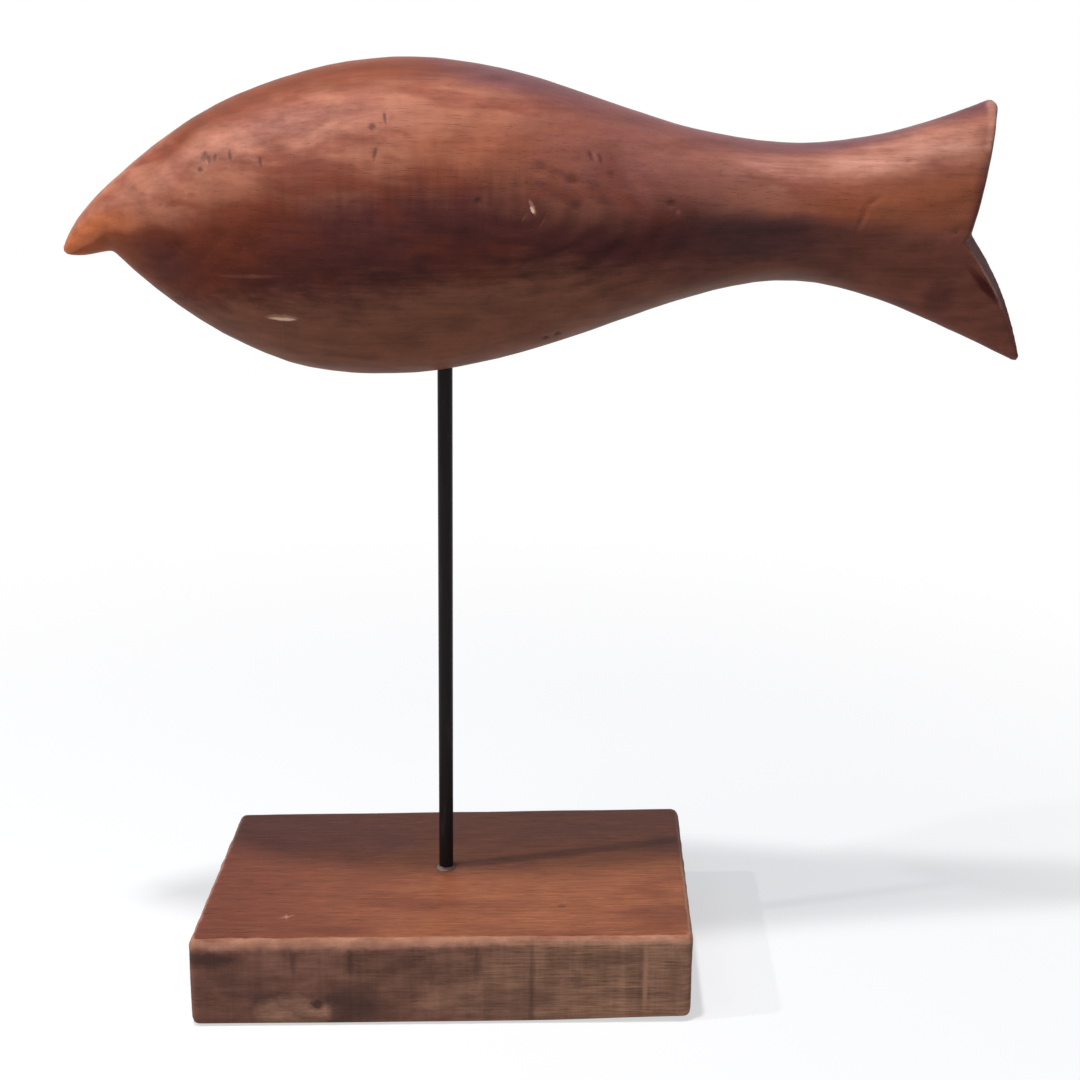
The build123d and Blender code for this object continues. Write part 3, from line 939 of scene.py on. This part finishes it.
def side_of_block(wood, tint):
    """Sawn sides: fine fibres, upright saw lines, stains and, on the front, a pale knot."""
    x = wood.axes()[0]
    mottle = wood.noise((9, 9, 4.5), 3.0, 0.6, start=7.0) - 0.5
    fibre = wood.noise((13, 13, 0.7), 4.0, 0.66, start=19.0) - 0.5
    bands = wood.noise((2.8, 2.8, 60), 3.0, 0.6, start=2.0) - 0.5
    olive = wood.noise((22, 22, 11), 2.0, 0.5, start=71.0) - 0.5
    right_end = wood.step(x + olive * 90, -55.0, 55.0)
    side = wood.mix(right_end, tint.left_wood, tint.right_wood)
    light = 1.0 + fibre * (right_end * 1.2 + 0.8) + mottle * 1.1 + bands * 0.65 + olive * 0.5
    side = wood.shade(side, light)
    for marks, ragged, softness in ((STAINS, 0.9, 0.7), (SAW_LINES, 1.9, 0.8)):
        for *place, strength in marks:
            mark = front_patch(wood, *place, ragged, softness)
            side = wood.mix(mark * strength, side, tint.saw_dark)
    pale_line = front_patch(wood, *PALE_SAW_LINE, 1.1, 0.6)
    side = wood.mix(pale_line * 0.8, side, wood.shade(tint.right_wood, 1.45))
    knot = 0.0
    halo = 0.0
    for place, height, half_long, half_high in KNOT_LOBES:
        lobe = front_patch(wood, place, height, half_long, half_high, 0.8, 0.40)
        ring = front_patch(
            wood, place - 1.0, height + 0.8, half_long + 1.4, half_high + 1.2, 0.7, 0.3
        )
        knot = wood.math("MAXIMUM", lobe, knot)
        halo = wood.math("MAXIMUM", ring, halo)
    side = wood.mix(halo * 0.40, side, tint.saw_dark)
    knot_tone = wood.shade(tint.knot_wood, 1.0 + mottle * 1.8 + fibre)
    side = wood.mix(knot * 0.95, side, knot_tone)
    side = wood.mix(wood.patch(*KNOT_EYE) * 0.9, side, tint.saw_dark)
    return side, fibre * 1.6 + bands + mottle * 0.8


def sawn_wood(tint):
    """Oiled board with fine grain on top, sawn and stained sides and pale worn edges."""
    wood = material_bench("block_wood")
    x, y, z = wood.axes()
    up = wood.facing("Z")
    flat = wood.step(up, 0.55, 0.80)
    ragged = wood.noise((4.0, 4.0, 4.0), 3.0, 0.6, start=43.0) - 0.5
    worn_share = wood.noise((9, 9, 4), 3.0, 0.6, start=91.0) - 0.5

    top, top_height = top_of_block(wood, tint)
    side, side_height = side_of_block(wood, tint)
    tone = wood.mix(flat, side, top)
    tone = wood.mix(1 - wood.step(up, -0.9, -0.6), tone, tint.left_wood)
    strip = wood.step(x, -30.0, 25.0) * ARRIS_RISE + ARRIS_FOOT
    worn = wood.step(z + ragged * 3.2 - strip, -1.5, 1.4)
    worn = worn * (1 - wood.step(up + ragged * 0.12, 0.93, 0.99))
    front_only = 1 - wood.step(y, BLOCK_FRONT + 3, BLOCK_FRONT + 6)
    rim = wood.band(up + ragged * 0.3, 0.45, 0.88, 0.08)
    worn = worn * front_only * (0.66 + worn_share * 1.5) + rim * (1 - front_only) * 0.55
    arris = wood.shade(tint.arris_wood, 1.0 + ragged * 0.6)
    tone = wood.mix(worn, tone, arris)

    roughness = flat * -0.22 + 0.72 + ragged * 0.12
    height = top_height * flat + side_height * (1 - flat)
    return wood.finish(tone, roughness, height, relief=0.09, specular=0.10)


class FISH_OT_saw(bpy.types.Operator):
    """Saw the block: fine mesh, saw marks, worn edges and oiled wood"""

    bl_idname = "carved_fish.saw"
    bl_label = "Saw the block"

    def execute(self, context):
        settings = context.scene.fish_block
        mesh = sawn_block_mesh(settings)
        new_piece("block", mesh, sawn_wood(settings), "stand", "block_wood", "base_block")
        return {"FINISHED"}


def black_paint(settings):
    """Satin black paint, rubbed brown here and there."""
    paint = material_bench("black_steel")
    cloud = paint.noise((2.2, 2.2, 26), 3.0, 0.6)
    grit = paint.noise((0.7, 0.7, 0.9), 2.0, 0.6, start=5.0)
    tone = paint.mix(paint.step(cloud, 0.52, 0.74) * 0.7, settings.paint, settings.rubbed)
    roughness = 0.42 + (cloud - 0.5) * 0.3
    return paint.finish(tone, roughness, grit + cloud * 0.6, relief=0.05, specular=0.10)


class FISH_OT_paint(bpy.types.Operator):
    """Paint the rod black"""

    bl_idname = "carved_fish.paint"
    bl_label = "Paint the rod"

    def execute(self, context):
        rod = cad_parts["support_rod"]
        rod.data.materials.clear()
        rod.data.materials.append(black_paint(context.scene.fish_rod))
        return {"FINISHED"}


# The bead of glue
GLUE_FILM = 0.2 * MM  # film round the rod in the block
GLUE_FILM_TOP = 0.4 * MM  # how far under the block's top the film ends
GLUE_SUNK = 0.3 * MM  # how far under the block's top the bead starts
GLUE_CLEAR = 0.02 * MM  # between the bead's upper rim and the rod
GLUE_SLOPE = 1.8  # how much steeper the bead gets towards the rod
GLUE_LUMPS, GLUE_LEAN = 0.45, 0.35  # how unevenly it is spread
GLUE_HEAVY_SIDE = radians(230)  # from +X


def glue_mesh(settings):
    """A lopsided bead of glue round the rod's foot, with the film that goes down into the block."""
    rows = []
    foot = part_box("glue_collar")[0].z
    film = ROD_RADIUS + GLUE_FILM
    for i in range(settings.turns):
        turn = 2 * pi * i / settings.turns
        lumps = noise.noise((2 * cos(turn), 2 * sin(turn), 4.0))
        spread = 1 + GLUE_LUMPS * lumps + GLUE_LEAN * cos(turn - GLUE_HEAVY_SIDE)
        row = [(ROD_RADIUS, foot), (film, foot), (film, BLOCK_HIGH.z - GLUE_FILM_TOP)]
        for j in range(settings.rings):
            share = j / (settings.rings - 1)
            out = ROD_RADIUS + settings.width * spread * (1 - share) + GLUE_CLEAR
            rise = (settings.height * spread + GLUE_SUNK) * share ** GLUE_SLOPE
            row.append((out, BLOCK_HIGH.z - GLUE_SUNK + rise))
        rows.append([(r * cos(turn), r * sin(turn), z) for r, z in row])
    shell = bmesh.new()
    rings = [[shell.verts.new(p) for p in row] for row in rows]
    for first, second in zip(rings, rings[1:] + rings[:1]):
        count = len(first)
        for j in range(count):
            k = (j + 1) % count
            shell.faces.new((first[j], second[j], second[k], first[k]))
    bmesh.ops.recalc_face_normals(shell, faces=shell.faces)
    mesh = bpy.data.meshes.new("glue")
    shell.to_mesh(mesh)
    shell.free()
    return mesh


def dried_glue(settings):
    """Dull dried glue, pale only at its front left, darker elsewhere and in spots."""
    glue = material_bench("dried_glue")
    cloud = glue.noise((1.8, 1.8, 1.2), 3.0, 0.6)
    x, y, _ = glue.axes()
    away = glue.step(x + y + (cloud - 0.5) * 4.0, -4.6, -1.6)
    # Darker all round except at the front left, and in spots
    glue_darker = away * 0.9 + glue.step(cloud, 0.45, 0.70) * 0.3
    tone = glue.mix(glue_darker, settings.glue, settings.glue_dark)
    return glue.finish(tone, 0.55 + (cloud - 0.5) * 0.3, cloud, relief=0.12, specular=0.3)


class FISH_OT_glue(bpy.types.Operator):
    """Set the bead of glue at the foot of the rod"""

    bl_idname = "carved_fish.glue"
    bl_label = "Set the glue"

    def execute(self, context):
        settings = context.scene.fish_glue
        mesh = glue_mesh(settings)
        new_piece("glue", mesh, dried_glue(settings), "stand", "dried_glue", "glue_collar")
        return {"FINISHED"}


# Square lights: size in metres, azimuth from +X and elevation in degrees, distance in metres
Lamp = namedtuple("Lamp", "name size azimuth elevation distance gloss")
LAMPS = (
    Lamp("left_light", 0.4, 212, 56, 1.4, True),
    Lamp("top_light", 0.08, 225, 78, 1.2, False),
    Lamp("low_light", 0.03, 192.4, 40, 1.3, False),
    Lamp("front_light", 1.2, 262, 35, 1.6, False),
)


def add_lamp(lamp, watts):
    """A light on the middle of the object, which shows in gloss only where it says so."""
    data = bpy.data.lights.new(lamp.name, "AREA")
    data.energy = watts
    data.size = lamp.size
    light = add_object(lamp.name, data)
    turn, rise = radians(lamp.azimuth), radians(lamp.elevation)
    away = Vector((cos(turn) * cos(rise), sin(turn) * cos(rise), sin(rise)))
    light.location = (CAD_BOX[0] + CAD_BOX[1]) / 2 + away * lamp.distance
    light.rotation_euler = away.to_track_quat("Z", "Y").to_euler()
    light.visible_glossy = lamp.gloss


FRAME_WIDTH = 36  # millimetres, of the frame behind the lens


def add_camera(settings):
    """The camera, turned by its yaw, pitch and roll from looking along +Y."""
    data = bpy.data.cameras.new("camera")
    data.sensor_width = FRAME_WIDTH
    data.lens = settings.lens
    camera = add_object("camera", data)
    turn = Matrix.Rotation(-settings.yaw, 4, "Z")
    tip = Matrix.Rotation(pi / 2 - settings.pitch, 4, "X")
    lean = Matrix.Rotation(settings.roll, 4, "Z")
    camera.matrix_world = Matrix.Translation(Vector(settings.eye)) @ turn @ tip @ lean
    bpy.context.scene.camera = camera


def white_world(sky):
    """A white surround that lights the object with a plain fill."""
    world = bpy.data.worlds.new("surround")
    bench = Bench(world)
    lit = bench.node("ShaderNodeBackground", {}, {"Color": (*sky, 1)})
    white = bench.node("ShaderNodeBackground", {}, {"Color": (1, 1, 1, 1)})
    inputs = {0: bench.shown_directly(), 1: lit, 2: white}
    bench.end(bench.node("ShaderNodeMixShader", {}, inputs), "World")
    bpy.context.scene.world = world


FLOOR_SIZE = 30.0  # metres
FLOOR_DROP = 0.05  # millimetres below the block
FLOOR_NEAR = 90.0  # millimetres from the rod, up to which the shadow is at its fullest
FLOOR_CLEAR = 550.0  # and past which the floor is plain white
FLOOR_WHITE = 0.6  # share of plain white near the rod


def pale_floor(settings):
    """A pale floor that keeps the shadow near the object and fades to white away from it."""
    mesh = bpy.data.meshes.new("floor")
    half = FLOOR_SIZE / 2
    corners = [(-half, -half, 0), (half, -half, 0), (half, half, 0), (-half, half, 0)]
    mesh.from_pydata(corners, [], [(0, 1, 2, 3)])
    floor = add_object("floor", mesh)
    floor.location.z = -FLOOR_DROP * MM
    bench = material_bench("pale_floor")
    reach = bench.vector("LENGTH", {0: bench.place}, "Value")
    away = bench.step(reach, FLOOR_NEAR, FLOOR_CLEAR)
    shown = bench.shown_directly()
    pale = bench.mix(shown, settings.bounce, settings.floor)
    matt = bench.node("ShaderNodeBsdfDiffuse", {}, {"Color": pale})
    white = bench.node("ShaderNodeEmission", {}, {"Color": (1, 1, 1, 1), "Strength": 1.0})
    clear = shown * (away * (1 - FLOOR_WHITE) + FLOOR_WHITE)
    bench.end(bench.node("ShaderNodeMixShader", {}, {0: clear, 1: matt, 2: white}))
    mesh.materials.append(bench.owner)


class FISH_OT_stage(bpy.types.Operator):
    """Set the floor, the lights and the camera"""

    bl_idname = "carved_fish.stage"
    bl_label = "Set the stage"

    def execute(self, context):
        settings = context.scene.fish_stage
        pale_floor(settings)
        white_world(settings.sky)
        for lamp in LAMPS:
            add_lamp(lamp, getattr(settings, lamp.name))
        add_camera(settings)
        context.scene.view_settings.view_transform = "Standard"
        return {"FINISHED"}


OPERATORS = (FISH_OT_carve, FISH_OT_saw, FISH_OT_paint, FISH_OT_glue, FISH_OT_stage)
SETTINGS = {
    "carved_fish": FishSettings,
    "fish_block": BlockSettings,
    "fish_rod": RodSettings,
    "fish_glue": GlueSettings,
    "fish_stage": StageSettings,
}


class FISH_PT_figurine(bpy.types.Panel):
    """Steps that dress the fish figurine"""

    bl_idname = "FISH_PT_figurine"
    bl_label = "Carved fish"
    bl_space_type = "VIEW_3D"
    bl_region_type = "UI"
    bl_category = "Carved fish"

    def draw(self, context):
        for operator, name in zip(OPERATORS, SETTINGS):
            box = self.layout.box()
            box.operator(operator.bl_idname)
            for setting in SETTINGS[name].__annotations__:
                box.prop(getattr(context.scene, name), setting)


CLASSES = (*SETTINGS.values(), *OPERATORS, FISH_PT_figurine)


def register():
    for group in CLASSES:
        bpy.utils.register_class(group)
    for name, group in SETTINGS.items():
        setattr(bpy.types.Scene, name, PointerProperty(type=group))


def unregister():
    for name in SETTINGS:
        delattr(bpy.types.Scene, name)
    for group in reversed(CLASSES):
        bpy.utils.unregister_class(group)


def main():
    register()
    bpy.ops.carved_fish.carve()
    bpy.ops.carved_fish.saw()
    bpy.ops.carved_fish.paint()
    bpy.ops.carved_fish.glue()
    bpy.ops.carved_fish.stage()


if __name__ == "__main__":
    main()
